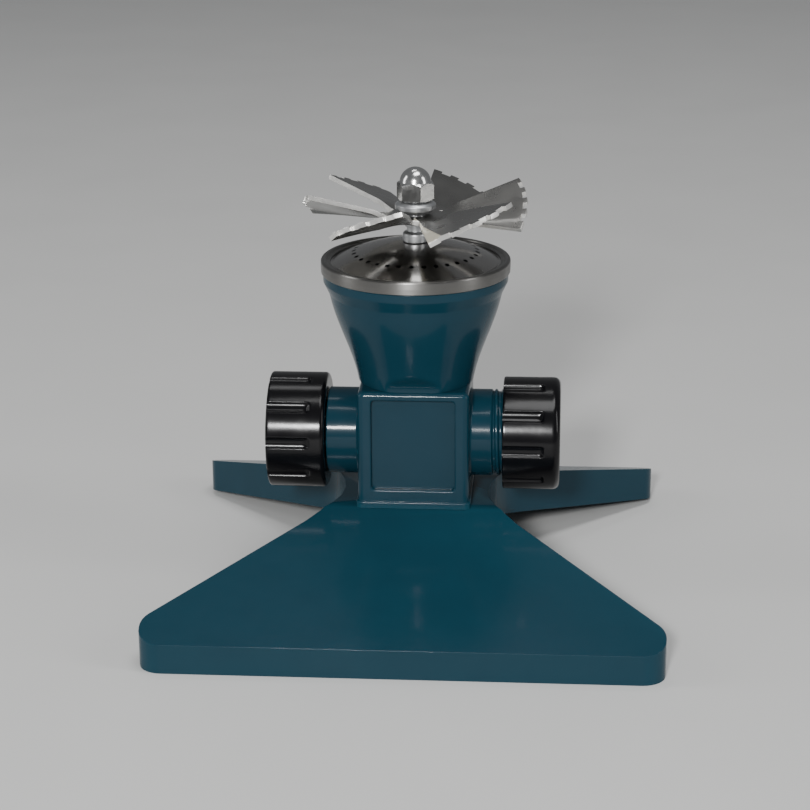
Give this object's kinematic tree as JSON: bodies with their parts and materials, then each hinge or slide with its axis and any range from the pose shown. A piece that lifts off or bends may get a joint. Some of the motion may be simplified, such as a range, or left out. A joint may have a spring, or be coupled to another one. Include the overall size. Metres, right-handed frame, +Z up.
{
  "type": "revolving sprinkler",
  "caption": "Lawn sprinkler on a sled base: a cast manifold with a swivel hose inlet and a capped outlet feeds a perforated dome that spins a toothed propeller rotor.",
  "frame": {"origin": "centre of the footprint, on the ground plane", "axes": "+Z up along the rotor's axis, +X towards the capped outlet, -X out of the hose inlet, -Y the front"},
  "size_m": [0.152, 0.156, 0.132],
  "materials": {
    "teal_paint": "glossy powder coat",
    "black_plastic": "moulded, semi-gloss",
    "stainless": "spun and polished",
    "polished_rim": "polished",
    "rotor_sheet": "galvanised sheet with bright cut edges",
    "chrome": "bright plated",
    "zinc_steel": "zinc plated",
    "rubber": "matt"
  },
  "bodies": {
    "root": {"base_casting": "teal_paint", "base_screws": "zinc_steel", "screw_washers": "zinc_steel", "body_casting": "teal_paint", "dome_gasket": "rubber", "spray_dome": "stainless", "rim_band": "polished_rim", "spindle": "stainless", "spindle_lock_nut": "zinc_steel", "spindle_backing_washer": "zinc_steel", "spindle_seal": "rubber", "spindle_collar": "zinc_steel", "thrust_washer": "zinc_steel", "top_washer": "zinc_steel", "cap_nut": "chrome", "retaining_ring": "stainless"},
    "rotor": {"rotor_blades": "rotor_sheet", "rotor_bush": "zinc_steel"},
    "inlet": {"swivel_nut": "black_plastic", "hose_washer": "rubber", "filter_screen": "stainless"},
    "cap_seal": {"cap_washer": "rubber"},
    "cap": {"outlet_cap": "black_plastic"}
  },
  "joints": [
    {"name": "rotor_spin", "type": "hinge", "parent": "root", "child": "rotor", "pos_m": [0, 0, 0.1165], "axis": [0, 0, 1], "continuous": true},
    {"name": "inlet_swivel", "type": "hinge", "parent": "root", "child": "inlet", "pos_m": [-0.029, 0, 0.0483], "axis": [1, 0, 0], "continuous": true},
    {"name": "cap_travel", "type": "slide", "parent": "root", "child": "cap_seal", "axis": [1, 0, 0], "range_m": [0, 0.01105]},
    {"name": "cap_unscrew", "type": "hinge", "parent": "cap_seal", "child": "cap", "pos_m": [0.0358, 0, 0.0483], "axis": [1, 0, 0], "range_deg": [0, 1800]}
  ],
  "couplings": [
    {"joint": "cap_travel", "follows": "cap_unscrew", "m_per_rad": 0.0003515}
  ]
}
